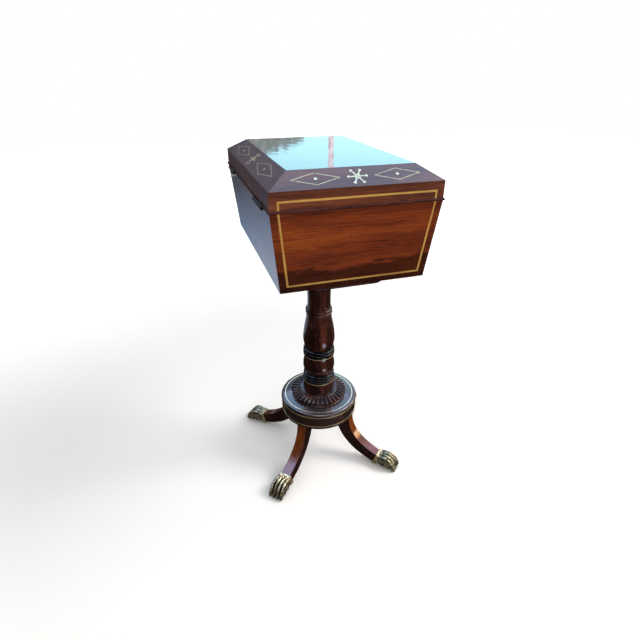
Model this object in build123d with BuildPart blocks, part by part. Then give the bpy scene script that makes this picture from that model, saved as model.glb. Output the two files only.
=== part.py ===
from build123d import *
import os
from math import cos, hypot, radians, sin

os.makedirs("parts", exist_ok=True)

# A teapoy: a tea chest of sarcophagus shape on a turned column, a round platform and
# four sabre legs with brass lion-paw feet that hide castors.
# Millimetres. The floor is z = 0, the column stands on the Z axis, the front (with the lock)
# faces -Y and the left end -X.

# Driving heights
total_height = 760.0
box_base_z = 560.0
box_rim_z = 702.0
seam_gap = 0.5
band_top_z = 736.5
platform_base_z = 123.4
platform_top_z = 168.2

# Driving plan sizes
rim_length = 440.0
rim_width = 304.0
base_length = 416.0
base_width = 274.0
platform_radius = 94.6
wall = 10.0
slope_run = 38.5
slope_board = 9.4

# Fits
running_gap = 0.05
clear_gap = 0.3

lid_base_z = box_rim_z + seam_gap
slope_rise = total_height - band_top_z
slope_length = hypot(slope_run, slope_rise)

corners = {"back_right": 45, "back_left": 135, "front_left": 225, "front_right": 315}


def save(piece, name):
    piece.part.label = name
    export_step(piece.part, f"parts/{name}.step")


def ring(radius, z, flats, centre_y=0.0):
    # Corners of a level regular polygon round an upright axis.
    angles = [radians(360 * flat / flats) for flat in range(flats)]
    return [(radius * cos(angle), centre_y + radius * sin(angle), z) for angle in angles]


def flat_faced(outlines):
    # A solid skinned with flat faces from outline to outline, all with the same number of corners.
    faces = [Face(Wire.make_polygon(outlines[0])), Face(Wire.make_polygon(outlines[-1]))]
    for first, second in zip(outlines, outlines[1:]):
        for corner in range(len(first)):
            quad = [first[corner - 1], first[corner], second[corner], second[corner - 1]]
            faces.append(Face(Wire.make_polygon(quad)))
    return Solid(Shell(faces))


# ---------------------------------------------------------------- box: four canted walls
sides = ("front", "back", "left_end", "right_end")


def wall_plan(side, length, width, thickness):
    # Plan outline of one wall of a rectangular frame, both its ends mitred.
    x, y = length / 2, width / 2
    xi, yi = x - thickness, y - thickness
    plans = {
        "front": [(-x, -y), (x, -y), (xi, -yi), (-xi, -yi)],
        "back": [(x, y), (-x, y), (-xi, yi), (xi, yi)],
        "left_end": [(-x, y), (-x, -y), (-xi, -yi), (-xi, yi)],
        "right_end": [(x, -y), (x, y), (xi, yi), (xi, -yi)],
    }
    return plans[side]


def canted_wall(side):
    foot = [(x, y, box_base_z) for x, y in wall_plan(side, base_length, base_width, wall)]
    rim = [(x, y, box_rim_z) for x, y in wall_plan(side, rim_length, rim_width, wall)]
    return flat_faced([foot, rim])


def face_plane(side, low, high):
    # The plane of an outer face that runs between two rectangles, low and high, each given as
    # (length, width, z). Its origin is the middle of the high edge, +y goes up the face.
    along = {"front": (1, 0, 0), "back": (-1, 0, 0), "left_end": (0, -1, 0), "right_end": (0, 1, 0)}[side]
    out = {"front": (0, -1), "back": (0, 1), "left_end": (-1, 0), "right_end": (1, 0)}[side]
    span = 1 if out[0] == 0 else 0
    run = (high[span] - low[span]) / 2
    rise = high[2] - low[2]
    origin = (out[0] * high[0] / 2, out[1] * high[1] / 2, high[2])
    return Plane(origin=origin, x_dir=along, z_dir=(out[0] * rise, out[1] * rise, -run))


box_low = (base_length, base_width, box_base_z)
box_high = (rim_length, rim_width, box_rim_z)
band_low = (rim_length, rim_width, lid_base_z)
band_high = (rim_length, rim_width, band_top_z)
panel_high = (rim_length - 2 * slope_run, rim_width - 2 * slope_run, total_height)

# Brass stringing: one frame on each of the front and the two ends, let into box and lid alike.
string_width = 3.4
string_depth = 0.8
string_margin = 13.0
string_foot_z = 571.0
string_head_z = 722.0


def box_string(side):
    # The frame's sides and foot, below the seam.
    top, bottom = (rim_length, base_length) if side == "front" else (rim_width, base_width)
    drop = (box_rim_z - string_foot_z) / (box_rim_z - box_base_z)
    x_high = top / 2 - string_margin
    x_low = top / 2 - (top - bottom) / 2 * drop - string_margin
    foot = -hypot(box_rim_z - string_foot_z, (top - bottom) / 2 * drop)
    with BuildPart() as string:
        with BuildSketch(face_plane(side, box_low, box_high)):
            Polygon((-x_high, 0), (-x_low, foot), (x_low, foot), (x_high, 0), align=None)
            x_high, x_low = x_high - string_width, x_low - string_width
            inner_foot = foot + string_width
            Polygon((-x_high, 0), (-x_low, inner_foot), (x_low, inner_foot), (x_high, 0),
                    align=None, mode=Mode.SUBTRACT)
        extrude(amount=-string_depth)
    return string


def lid_string(side):
    # The frame's head and the two short uprights on the lid's band.
    span = rim_length if side == "front" else rim_width
    x = span / 2 - string_margin
    head = string_head_z - band_top_z
    foot = lid_base_z - band_top_z
    with BuildPart() as string:
        with BuildSketch(face_plane(side, band_low, band_high)):
            Polygon((-x, foot), (x, foot), (x, head), (-x, head), align=None)
            x, head = x - string_width, head - string_width
            Polygon((-x, foot), (x, foot), (x, head), (-x, head), align=None, mode=Mode.SUBTRACT)
        extrude(amount=-string_depth)
    return string


strung_sides = ("front", "left_end", "right_end")
box_strings = {side: box_string(side) for side in strung_sides}
lid_strings = {side: lid_string(side) for side in strung_sides}

# ---------------------------------------------------------------- hinges: two stop butts
hinge_length = 70.0
hinge_x = 146.0
knuckle_radius = 3.0
knuckles = 3
knuckle_side_gap = 0.2
pin_radius = 1.5
leaf = 1.5
leaf_edge_y = 143.0
leaf_width_gap = 0.2
pivot_y = rim_width / 2 + knuckle_radius + leaf_width_gap
pivot_z = box_rim_z + seam_gap / 2
leaf_mid_y = (leaf_edge_y + pivot_y) / 2
knuckle_pitch = hinge_length / knuckles
hinge_spots = (-hinge_x, hinge_x)


def knuckle_places(first):
    # Middles of every second knuckle of both hinges, from the given one on.
    return [(x - hinge_length / 2 + (step + 0.5) * knuckle_pitch, pivot_y, pivot_z)
            for x in hinge_spots for step in range(first, knuckles, 2)]


def leaves(z_low, own_first, pin_bore):
    # One leaf of both hinges with its own knuckles, notched for the other leaf's knuckles.
    own_length = knuckle_pitch - knuckle_side_gap
    notch = 2 * (knuckle_radius + clear_gap)
    with BuildPart() as piece:
        with Locations(*[(x, leaf_mid_y, z_low + leaf / 2) for x in hinge_spots]):
            Box(hinge_length, pivot_y - leaf_edge_y, leaf)
        with Locations(*knuckle_places(1 - own_first)):
            Box(knuckle_pitch + knuckle_side_gap, notch, notch, mode=Mode.SUBTRACT)
        with Locations(*knuckle_places(own_first)):
            Cylinder(knuckle_radius, own_length, rotation=(0, 90, 0))
        with Locations(*[(x, pivot_y, pivot_z) for x in hinge_spots]):
            Cylinder(pin_bore, hinge_length + 2, rotation=(0, 90, 0), mode=Mode.SUBTRACT)
    return piece


hinge_lower_leaves = leaves(box_rim_z - leaf, 0, pin_radius)
save(hinge_lower_leaves, "hinge_lower_leaves")
hinge_upper_leaves = leaves(lid_base_z, 1, pin_radius + running_gap)
save(hinge_upper_leaves, "hinge_upper_leaves")

with BuildPart() as hinge_pins:
    with Locations(*[(x, pivot_y, pivot_z) for x in hinge_spots]):
        Cylinder(pin_radius, hinge_length, rotation=(0, 90, 0))
save(hinge_pins, "hinge_pins")

# ---------------------------------------------------------------- box lock and link plate
lock_length = 54.0
lock_height = 28.0
lock_back_y = -146.0
lock_front_y = -136.0
lock_plate = 1.5
lock_gap = 1.0
link_length = 60.0
link_width = 10.0
staple_x = 12.0
staple_thick = 1.6
staple_width = 6.0
staple_window = 3.4
staple_window_rise = 7.0
staple_foot = 1.3
staple_foot_z = 690.0
slot_gap = 0.4
bolt_thick = 1.6
bolt_bar = 5.0
bolt_bar_gap = 3.0
bolt_bar_length = 43.0
tine_root = 8.0
tine_tip = 1.5
tine_stem = 3.0
tine_height = 3.6
tine_low_z = 692.9
key_z = 683.0
key_radius = 2.5
key_slot = (2.2, 8.0)
lock_mid_y = (lock_back_y + lock_front_y) / 2
staple_spots = [(x, lock_mid_y) for x in (-staple_x, staple_x)]

with BuildPart() as lock_body:
    with Locations((0, lock_mid_y, box_rim_z - lock_height / 2)):
        Box(lock_length, lock_front_y - lock_back_y, lock_height)

with BuildPart() as keyhole:
    with BuildSketch(Plane((0, 0, key_z), x_dir=(1, 0, 0), z_dir=(0, -1, 0))):
        Circle(key_radius)
        with Locations((0, -key_slot[1] / 2)):
            Rectangle(*key_slot)
    extrude(amount=rim_width / 2 + wall)
    with Locations((0, 0, key_z)):
        Box(4 * key_slot[1], -2 * lock_mid_y, 4 * key_slot[1], mode=Mode.SUBTRACT)

with BuildPart() as lock_case:
    add(lock_body.part)
    with Locations((0, lock_mid_y, box_rim_z - lock_height / 2)):
        Box(lock_length - 2 * lock_plate, lock_front_y - lock_back_y - 2 * lock_plate,
            lock_height - 2 * lock_plate, mode=Mode.SUBTRACT)
    with Locations(*[(x, y, box_rim_z - lock_plate / 2) for x, y in staple_spots]):
        Box(staple_thick + 3 * slot_gap, staple_width + 2 * slot_gap, 2 * lock_plate, mode=Mode.SUBTRACT)
    add(keyhole.part, mode=Mode.SUBTRACT)
save(lock_case, "lock_case")

# The bolt's two tines slide sideways through the windows of the lid's staples.
bar_z = staple_foot_z - bolt_bar - bolt_bar_gap
with BuildPart() as lock_bolt:
    with BuildSketch(Plane((0, lock_mid_y, 0), x_dir=(1, 0, 0), z_dir=(0, -1, 0))):
        with Locations((-tine_tip, bar_z)):
            Rectangle(bolt_bar_length, bolt_bar, align=(Align.CENTER, Align.MIN))
        for x in (-staple_x, staple_x):
            with Locations((x - tine_root, bar_z)):
                Rectangle(tine_stem, tine_low_z + tine_height - bar_z, align=Align.MIN)
            with Locations((x - tine_root, tine_low_z)):
                Rectangle(tine_root - tine_tip, tine_height, align=Align.MIN)
    extrude(amount=bolt_thick / 2, both=True)
save(lock_bolt, "lock_bolt")

with BuildPart() as link_plate:
    with Locations((0, lock_back_y + link_width / 2 - 1, lid_base_z + leaf / 2)):
        Box(link_length, link_width, leaf)
    staple_rise = lid_base_z + leaf / 2 - staple_foot_z
    with Locations(*[(x, y, staple_foot_z + staple_rise / 2) for x, y in staple_spots]):
        Box(staple_thick, staple_width, staple_rise)
    with Locations(*[(x, y, staple_foot_z + staple_foot + staple_window_rise / 2) for x, y in staple_spots]):
        Box(2 * staple_thick, staple_window, staple_window_rise, mode=Mode.SUBTRACT)
save(link_plate, "link_plate")

# ---------------------------------------------------------------- box walls with their cuts
front_plane = face_plane("front", box_low, box_high)
escutcheon_half_width = 8.0
escutcheon_half_height = 12.0
escutcheon_flats = 24
escutcheon_thick = 1.2
escutcheon_drop = 2.0
with BuildPart() as escutcheon:
    with BuildSketch(front_plane):
        with Locations((0, key_z - box_rim_z - escutcheon_drop)):
            Polygon(*[(escutcheon_half_width * x, escutcheon_half_height * y)
                      for x, y, z in ring(1.0, 0, escutcheon_flats)], align=None)
    extrude(amount=escutcheon_thick)
    add(keyhole.part, mode=Mode.SUBTRACT)
save(escutcheon, "escutcheon")

for side in sides:
    with BuildPart() as box_wall:
        add(canted_wall(side))
        if side in strung_sides:
            add(box_strings[side].part, mode=Mode.SUBTRACT)
        if side == "front":
            add(lock_body.part, mode=Mode.SUBTRACT)
            add(keyhole.part, mode=Mode.SUBTRACT)
        if side == "back":
            with Locations(*[(x, leaf_mid_y, box_rim_z - leaf / 2) for x in hinge_spots]):
                Box(hinge_length, pivot_y - leaf_edge_y, leaf, mode=Mode.SUBTRACT)
    save(box_wall, f"box_{side}")

with BuildPart() as box_stringing:
    for side in strung_sides:
        add(box_strings[side].part)
save(box_stringing, "box_stringing")

# The bottom board.
bottom_board = 8.0
bearer_length = 360.0
bearer_width = 130.0
bearer = 20.0
bearer_z = box_base_z - bearer

with BuildPart() as box_bottom:
    with Locations((0, 0, box_base_z + bottom_board / 2)):
        Box(base_length - 2 * wall, base_width - 2 * wall, bottom_board)
save(box_bottom, "box_bottom")

# ---------------------------------------------------------------- fittings inside the box
floor_z = box_base_z + bottom_board
partition = 6.0
partition_x = 92.0
well_board_z = 686.0
well_board = 6.0
well_y = 62.0
well_radius = 50.0
well_flats = 32


def inner_half_width(z):
    lean = (rim_width - base_width) / 2 * (box_rim_z - z) / (box_rim_z - box_base_z)
    return rim_width / 2 - wall - lean


partition_top_z = well_board_z + well_board
with BuildPart() as partitions:
    for x in (-partition_x, partition_x):
        with BuildSketch(Plane((x, 0, 0), x_dir=(0, 1, 0), z_dir=(1, 0, 0))):
            low, high = inner_half_width(floor_z), inner_half_width(partition_top_z)
            Polygon((-low, floor_z), (low, floor_z), (high, partition_top_z), (-high, partition_top_z),
                    align=None)
        extrude(amount=partition / 2, both=True)
save(partitions, "partitions")

well_board_length = 2 * partition_x - partition
well_board_width = 2 * inner_half_width(well_board_z)
with BuildPart() as well_panel:
    with Locations((0, 0, well_board_z + well_board / 2)):
        Box(well_board_length, well_board_width, well_board)
    for y in (well_y, -well_y):
        wells = [ring(well_radius, z, well_flats, y) for z in (well_board_z - 1, partition_top_z + 1)]
        add(flat_faced(wells), mode=Mode.SUBTRACT)
    with Locations((0, lock_mid_y, well_board_z)):
        Box(lock_length + 2 * lock_gap, lock_front_y - lock_back_y + 2 * lock_gap, 3 * well_board,
            mode=Mode.SUBTRACT)
save(well_panel, "well_panel")

# Cut-glass mixing bowls with flat flutes: each hangs by its turned-out lip in a round well.
bowl_wall = 2.0
bowl_depth = 68.0
bowl_rim_radius = well_radius - 1.5
bowl_lip_radius = well_radius + 3.0
bowl_lip = 2.0
lip_z = partition_top_z + clear_gap
bowl_foot_z = partition_top_z - bowl_depth
bowl_flutes = 16
# (radius to the arrises, height) from the foot to the top of the lip, and inside from the well up
bowl_outside = [(26.0, bowl_foot_z), (44.0, bowl_foot_z + 26), (bowl_rim_radius - 1, lip_z),
                (bowl_lip_radius, lip_z), (bowl_lip_radius, lip_z + bowl_lip)]
bowl_inside = [(24.0, bowl_foot_z + 5), (41.5, bowl_foot_z + 28),
               (bowl_rim_radius - 1 - bowl_wall, lip_z + bowl_lip)]

for name, y in (("bowl_back", well_y), ("bowl_front", -well_y)):
    with BuildPart() as bowl:
        add(flat_faced([ring(radius, z, bowl_flutes, y) for radius, z in bowl_outside]))
        add(flat_faced([ring(radius, z, bowl_flutes, y) for radius, z in bowl_inside]), mode=Mode.SUBTRACT)
    save(bowl, name)

# Tea caddies, one at each end, with lift-off lids that carry a small turned knob.
caddy_length = 96.0
caddy_width = 236.0
caddy_board = 5.0
caddy_top_z = 682.0
caddy_lid = 6.0
caddy_plug = 5.0
caddy_gap = 1.0
caddy_x = partition_x + partition / 2 + caddy_gap + caddy_length / 2
knob_flats = 16
knob_profile = [(5.5, 0), (5.5, 1.2), (2.6, 3.6), (4.8, 7.0), (4.8, 9.2), (2.4, 11.4)]
cover_edge = 1.2
for end, x in (("left", -caddy_x), ("right", caddy_x)):
    with BuildPart() as caddy:
        with Locations((x, 0, (floor_z + caddy_top_z) / 2)):
            Box(caddy_length, caddy_width, caddy_top_z - floor_z)
        with Locations((x, 0, (floor_z + caddy_board + caddy_top_z) / 2)):
            Box(caddy_length - 2 * caddy_board, caddy_width - 2 * caddy_board,
                caddy_top_z - floor_z - caddy_board, mode=Mode.SUBTRACT)
    save(caddy, f"caddy_{end}")
    with BuildPart() as cover:
        with Locations((x, 0, caddy_top_z + clear_gap + caddy_lid / 2)):
            Box(caddy_length, caddy_width, caddy_lid)
        chamfer(cover.edges().group_by(Axis.Z)[-1], cover_edge)
        with Locations((x, 0, caddy_top_z + clear_gap - caddy_plug / 2)):
            Box(caddy_length - 2 * caddy_board - caddy_gap, caddy_width - 2 * caddy_board - caddy_gap,
                caddy_plug)
        knob_z = caddy_top_z + clear_gap + caddy_lid
        with Locations((x, 0, knob_z)):
            add(flat_faced([ring(radius, z, knob_flats) for radius, z in knob_profile]))
    save(cover, f"caddy_{end}_lid")

# ---------------------------------------------------------------- lid: mitred rails and panel
# Inlay on each slope: a six-armed star between two outlined lozenges.
inlay_depth = 0.6
inlay_rise = slope_length / 2
lozenge_line = 1.4
star_arm = 17.0
star_line = 1.7
star_disc = 4.6
star_flats = 12
lozenge_sizes = {"front": (103.0, 64.0, 14.4), "left_end": (71.0, 42.5, 13.8)}
lozenge_sizes["back"] = lozenge_sizes["front"]
lozenge_sizes["right_end"] = lozenge_sizes["left_end"]


def slope_inlay(side):
    place, half_length, half_height = lozenge_sizes[side]
    inset = 1 - lozenge_line * hypot(half_length, half_height) / (half_length * half_height)
    with BuildPart() as inlay:
        with BuildSketch(face_plane(side, band_high, panel_high)):
            for x in (-place, place):
                with Locations((x, -inlay_rise)):
                    Polygon((half_length, 0), (0, half_height), (-half_length, 0), (0, -half_height),
                            align=None)
                    Polygon((half_length * inset, 0), (0, half_height * inset), (-half_length * inset, 0),
                            (0, -half_height * inset), align=None, mode=Mode.SUBTRACT)
            with Locations((0, -inlay_rise)):
                RegularPolygon(star_disc, star_flats, rotation=180 / star_flats)
                with PolarLocations(0, 6):
                    Rectangle(star_arm, star_line, align=(Align.MIN, Align.CENTER))
        extrude(amount=-inlay_depth)
    return inlay


slope_inlays = {side: slope_inlay(side) for side in sides}

with BuildPart() as lid_inlay:
    for side in sides:
        add(slope_inlays[side].part)
save(lid_inlay, "lid_inlay")

with BuildPart() as lid_stringing:
    for side in strung_sides:
        add(lid_strings[side].part)
save(lid_stringing, "lid_stringing")

# A rail's section: an upright band with a sloping board on it, one piece of wood.
mitre = (rim_length - rim_width) / 2
inner_band_z = band_top_z - slope_board + wall * slope_rise / slope_run
rail_section = [(0, lid_base_z), (0, band_top_z), (slope_run, total_height),
                (slope_run, total_height - slope_board), (wall, inner_band_z), (wall, lid_base_z)]
rail_planes = {
    "front": Plane((0, -rim_width / 2, 0), x_dir=(0, 1, 0), z_dir=(1, 0, 0)),
    "back": Plane((0, rim_width / 2, 0), x_dir=(0, -1, 0), z_dir=(-1, 0, 0)),
    "left_end": Plane((-rim_length / 2, 0, 0), x_dir=(1, 0, 0), z_dir=(0, -1, 0)),
    "right_end": Plane((rim_length / 2, 0, 0), x_dir=(-1, 0, 0), z_dir=(0, 1, 0)),
}
rail_zones = {
    "front": [(-mitre, 0), (-mitre - rim_width, -rim_width), (mitre + rim_width, -rim_width), (mitre, 0)],
    "back": [(mitre, 0), (mitre + rim_width, rim_width), (-mitre - rim_width, rim_width), (-mitre, 0)],
    "left_end": [(-mitre, 0), (-mitre - rim_width, rim_width), (-mitre - rim_width, -rim_width)],
    "right_end": [(mitre, 0), (mitre + rim_width, -rim_width), (mitre + rim_width, rim_width)],
}

for side in sides:
    with BuildPart() as rail:
        with BuildSketch(rail_planes[side]):
            Polygon(*rail_section, align=None)
        extrude(amount=rim_length / 2, both=True)
        with BuildSketch(Plane.XY.offset(lid_base_z)):
            Polygon(*rail_zones[side], align=None)
        extrude(amount=total_height - lid_base_z, mode=Mode.INTERSECT)
        add(slope_inlays[side].part, mode=Mode.SUBTRACT)
        if side in strung_sides:
            add(lid_strings[side].part, mode=Mode.SUBTRACT)
        if side == "front":
            add(link_plate.part, mode=Mode.SUBTRACT)
        if side == "back":
            with Locations(*[(x, leaf_mid_y, lid_base_z + leaf / 2) for x in hinge_spots]):
                Box(hinge_length, pivot_y - leaf_edge_y, leaf, mode=Mode.SUBTRACT)
    save(rail, f"lid_rail_{side}")

with BuildPart() as lid_panel:
    with Locations((0, 0, total_height - slope_board / 2)):
        Box(rim_length - 2 * slope_run, rim_width - 2 * slope_run, slope_board)
save(lid_panel, "lid_panel")

# The ebonised bead round the lid's lower edge, stopped at the hinges.
bead_out = 2.6
bead_height = 4.6
bead_round = 1.5
bead_stop_gap = 1.0
with BuildPart() as lid_bead:
    with BuildSketch(Plane.XY.offset(lid_base_z)):
        Rectangle(rim_length + 2 * bead_out, rim_width + 2 * bead_out)
    extrude(amount=bead_height)
    chamfer(lid_bead.edges().group_by(Axis.Z)[-1] + lid_bead.edges().group_by(Axis.Z)[0], bead_round)
    with BuildSketch(Plane.XY.offset(lid_base_z)):
        Rectangle(rim_length, rim_width)
    extrude(amount=bead_height, mode=Mode.SUBTRACT)
    with Locations(*[(x, pivot_y, pivot_z) for x in hinge_spots]):
        Box(hinge_length + 2 * bead_stop_gap, 4 * knuckle_radius, 4 * bead_height, mode=Mode.SUBTRACT)
save(lid_bead, "lid_bead")

# ---------------------------------------------------------------- bearer under the box
tenon_radius = 14.0
bearer_socket = 16.0
bearer_edge = 5.0
column_flats = 36


def column_prism(radius, low, high):
    return flat_faced([ring(radius, z, column_flats) for z in (low, high)])


with BuildPart() as box_bearer:
    with Locations((0, 0, bearer_z + bearer / 2)):
        Box(bearer_length, bearer_width, bearer)
    chamfer(box_bearer.edges().group_by(Axis.Z)[0], bearer_edge)
    add(column_prism(tenon_radius, bearer_z - 1, bearer_z + bearer_socket), mode=Mode.SUBTRACT)
save(box_bearer, "box_bearer")

# ---------------------------------------------------------------- turned column
drum_radius = 38.4
drum_top_z = 213.0
lower_ring_z = 216.0
vase_z = 236.0
upper_band_z = 286.0
upper_ring_z = 289.4
baluster_z = 307.5


def turned(profile, flats=column_flats):
    # A turning bored for the column's tenon: its outer profile from foot to top, as (radius, z).
    with BuildPart() as turning:
        add(flat_faced([ring(radius, z, flats) for radius, z in profile]))
        add(column_prism(tenon_radius, profile[0][1], profile[-1][1]), mode=Mode.SUBTRACT)
    return turning


column_drum = turned([(drum_radius, platform_top_z), (drum_radius, drum_top_z)])
save(column_drum, "column_drum")
column_lower_ring = turned([(37.8, lower_ring_z), (39.2, 218.4), (39.2, 220.6), (36.4, 223.6),
                            (38.2, 227.4), (38.2, 231.8), (36.6, vase_z)])
save(column_lower_ring, "column_lower_ring")
column_vase = turned([(33.6, vase_z), (36.7, 246.0), (38.2, 257.5), (36.4, 273.0), (37.0, upper_band_z)])
save(column_vase, "column_vase")
column_upper_ring = turned([(36.9, upper_ring_z), (38.2, 294.6), (38.2, 301.0), (35.0, 305.4),
                            (35.0, baluster_z)])
save(column_upper_ring, "column_upper_ring")

lower_band_radius = 39.0
upper_band_radius = 37.7
with BuildPart() as column_brass_bands:
    add(turned([(lower_band_radius, drum_top_z), (lower_band_radius, lower_ring_z)]).part)
    add(turned([(upper_band_radius, upper_band_z), (upper_band_radius, upper_ring_z)]).part)
save(column_brass_bands, "column_brass_bands")

# The shaft carries its own long tenon, on which the rings, vase and drum are threaded.
tenon_foot_z = 130.0
tenon_top_z = bearer_z + bearer_socket - 0.5
baluster = [(34.0, baluster_z), (36.6, 320.0), (37.5, 334.0), (34.8, 358.0), (29.2, 395.0)]
double_bead = [(31.2, 400.6), (31.2, 404.6), (29.8, 406.2), (31.2, 407.8), (31.2, 411.6), (28.4, 417.0)]
neck = [(27.0, 433.0), (27.4, 458.0), (29.8, 488.0), (35.5, bearer_z - 15.5)]
cap = [(38.5, bearer_z - 14), (41.4, bearer_z - 10), (40.0, bearer_z - 6), (40.0, bearer_z)]
with BuildPart() as column_shaft:
    add(flat_faced([ring(radius, z, column_flats) for radius, z in baluster + double_bead + neck + cap]))
    add(column_prism(tenon_radius, tenon_foot_z, tenon_top_z))
save(column_shaft, "column_shaft")

# ---------------------------------------------------------------- gadrooned collar
# Lobes round a low dome: narrow at the drum, widest at the rim, tucked in below it.
ribs = 36
rib_step = 360 / ribs
collar_crest_radius = 69.8
collar_valley_radius = 66.2
# across one lobe: (place in its pitch, rise from valley to crest)
lobe = [(-0.5, 0.0), (-0.28, 0.72), (0.0, 1.0), (0.28, 0.72)]
# (height, size as a share of the widest outline)
collar_levels = [(172.6, 0.894), (178.4, 1.0), (185.0, 0.699)]
collar_foot_radius = 66.5
collar_foot = 1.8
collar_neck_radius = 60.0


def lobed_outline(z, size):
    corners_round = []
    for rib in range(ribs):
        for place, rise in lobe:
            reach = size * (collar_valley_radius + rise * (collar_crest_radius - collar_valley_radius))
            angle = radians((rib + place) * rib_step)
            corners_round.append((reach * cos(angle), reach * sin(angle), z))
    return corners_round


collar_base = [(collar_foot_radius, platform_top_z), (collar_foot_radius, platform_top_z + collar_foot),
               (collar_neck_radius, platform_top_z + 2 * collar_foot),
               (collar_neck_radius, collar_levels[0][0])]
with BuildPart() as gadrooned_collar:
    add(flat_faced([lobed_outline(z, size) for z, size in collar_levels]))
    add(flat_faced([ring(radius, z, ribs) for radius, z in collar_base]))
    add(column_prism(drum_radius, platform_top_z - 1, drum_top_z), mode=Mode.SUBTRACT)
save(gadrooned_collar, "gadrooned_collar")

# ---------------------------------------------------------------- platform
# The legs' tenons go up into the platform.
leg_width = 24.0
leg_top_inner = 54.0
leg_top_outer = 92.0
leg_tenon_inner = 60.0
leg_tenon_outer = 82.0
leg_tenon_width = 10.0
leg_tenon_rise = 24.0
leg_tenon_gap = 1.0

platform_rim_z = 158.8
platform_flats = 60
platform_profile = [(platform_radius, platform_base_z), (platform_radius, platform_rim_z),
                    (platform_radius + 1.2, 161.8), (platform_radius + 0.6, 165.6),
                    (platform_radius - 3.4, platform_top_z)]

with BuildPart() as platform:
    add(turned(platform_profile, platform_flats).part)
    with Locations(Plane.XY.offset(platform_base_z)):
        with PolarLocations((leg_tenon_inner + leg_tenon_outer) / 2, 4, start_angle=45):
            Box(leg_tenon_outer - leg_tenon_inner, leg_tenon_width, 2 * leg_tenon_rise, mode=Mode.SUBTRACT)
save(platform, "platform")

# ---------------------------------------------------------------- sabre legs
# Modelled out along +X in the XZ plane, then turned to the four corners.
ankle_slope = radians(20)
ankle_outer = (178.0, 30.3)
ankle_depth = 26.0
ankle_inner = (ankle_outer[0] - ankle_depth * sin(ankle_slope),
               ankle_outer[1] - ankle_depth * cos(ankle_slope))
ankle_way = (cos(ankle_slope), -sin(ankle_slope))
# where one tangent arc of the sabre curve passes into the next
leg_outer_knee = (126.5, 56.5)
leg_inner_instep = (152.2, 11.4)
leg_inner_knee = (103.8, 35.1)

with BuildPart() as sabre_leg:
    with BuildSketch(Plane.XZ):
        with BuildLine():
            knee = TangentArc((leg_top_outer, platform_base_z), leg_outer_knee, tangent=(0, -1))
            shin = TangentArc(knee @ 1, ankle_outer, tangent=knee % 1)
            ankle = Line(shin @ 1, ankle_inner)
            instep = TangentArc(ankle @ 1, leg_inner_instep, tangent=(-ankle_way[0], -ankle_way[1]))
            hollow = TangentArc(instep @ 1, leg_inner_knee, tangent=instep % 1)
            rise = TangentArc(hollow @ 1, (leg_top_inner, platform_base_z), tangent=hollow % 1)
            Line(rise @ 1, knee @ 0)
        make_face()
    extrude(amount=leg_width / 2, both=True)
    with Locations(((leg_tenon_inner + leg_tenon_outer) / 2, 0, platform_base_z)):
        Box(leg_tenon_outer - leg_tenon_inner, leg_tenon_width, 2 * (leg_tenon_rise - leg_tenon_gap))

# ---------------------------------------------------------------- lion-paw feet and castors
castor_reach = 196.0
castor_trail = 6.0
wheel_radius = 9.0
wheel_width = 9.0
axle_radius = 2.0
cheek = 1.6
cheek_gap = 0.3
fork_pin_radius = 3.0
fork_pin_top_z = 32.0
crown_low_z = 19.2
crown_top_z = 21.2
well_top_z = 21.6
castor_well_radius = 16.5
axle_x = castor_reach - castor_trail

# (distance out, lowest, highest, half width) of the foot's body from the ankle to under the toes
paw_sections = [(171.0, 3.5, 35.5, 14.0), (182.0, 2.0, 38.0, 17.0),
                (196.0, 1.2, 36.9, 19.0), (212.0, 1.2, 20.0, 19.0)]
paw_bevel = 4.0
sole_z = 1.2
toes = (-1.5, -0.5, 0.5, 1.5)
toe_pitch = 9.6
toe_half_width = 4.6
toe_bevel = 1.8
# side outline of a toe over its crest, from heel to tip
toe_crest = [(184.0, 35.0), (196.0, 37.8), (207.0, 33.6), (212.0, 27.0), (218.0, 23.2), (224.2, 12.5),
             (222.6, sole_z)]
claw_side = [(222.0, 10.0), (226.6, 6.4), (227.6, 2.4), (222.0, 3.0)]
claw_half_width = 1.6
outer_toe_drop = 1.6
toe_root_z = 10.0
cuff_margin = 2.5
cuff_length = 10.0
cuff_reach = 3.0
well_flats_in_paw = 24


def paw_section(reach, low, high, half):
    shoulder = half - paw_bevel
    return [(reach, shoulder, low), (reach, half, low + paw_bevel), (reach, half, high - paw_bevel),
            (reach, shoulder, high), (reach, -shoulder, high), (reach, -half, high - paw_bevel),
            (reach, -half, low + paw_bevel), (reach, -shoulder, low)]


def toe_solid(toe):
    # A toe from side to side: its outline in the middle, the same outline a bevel lower and back at
    # each flank.
    drop = outer_toe_drop if abs(toe) > 1 else 0
    crest = [(x, z if z < toe_root_z else z - drop) for x, z in toe_crest] + [(toe_crest[0][0], sole_z)]
    stops = [(-toe_half_width, toe_bevel), (toe_bevel - toe_half_width, 0),
             (toe_half_width - toe_bevel, 0), (toe_half_width, toe_bevel)]
    outlines = []
    for across, bevel in stops:
        outlines.append([(x - bevel, toe * toe_pitch + across, z - bevel) for x, z in crest])
    return flat_faced(outlines)


def claw(toe):
    flanks = (toe * toe_pitch - claw_half_width, toe * toe_pitch + claw_half_width)
    return flat_faced([[(x, across, z) for x, z in claw_side] for across in flanks])


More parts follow.
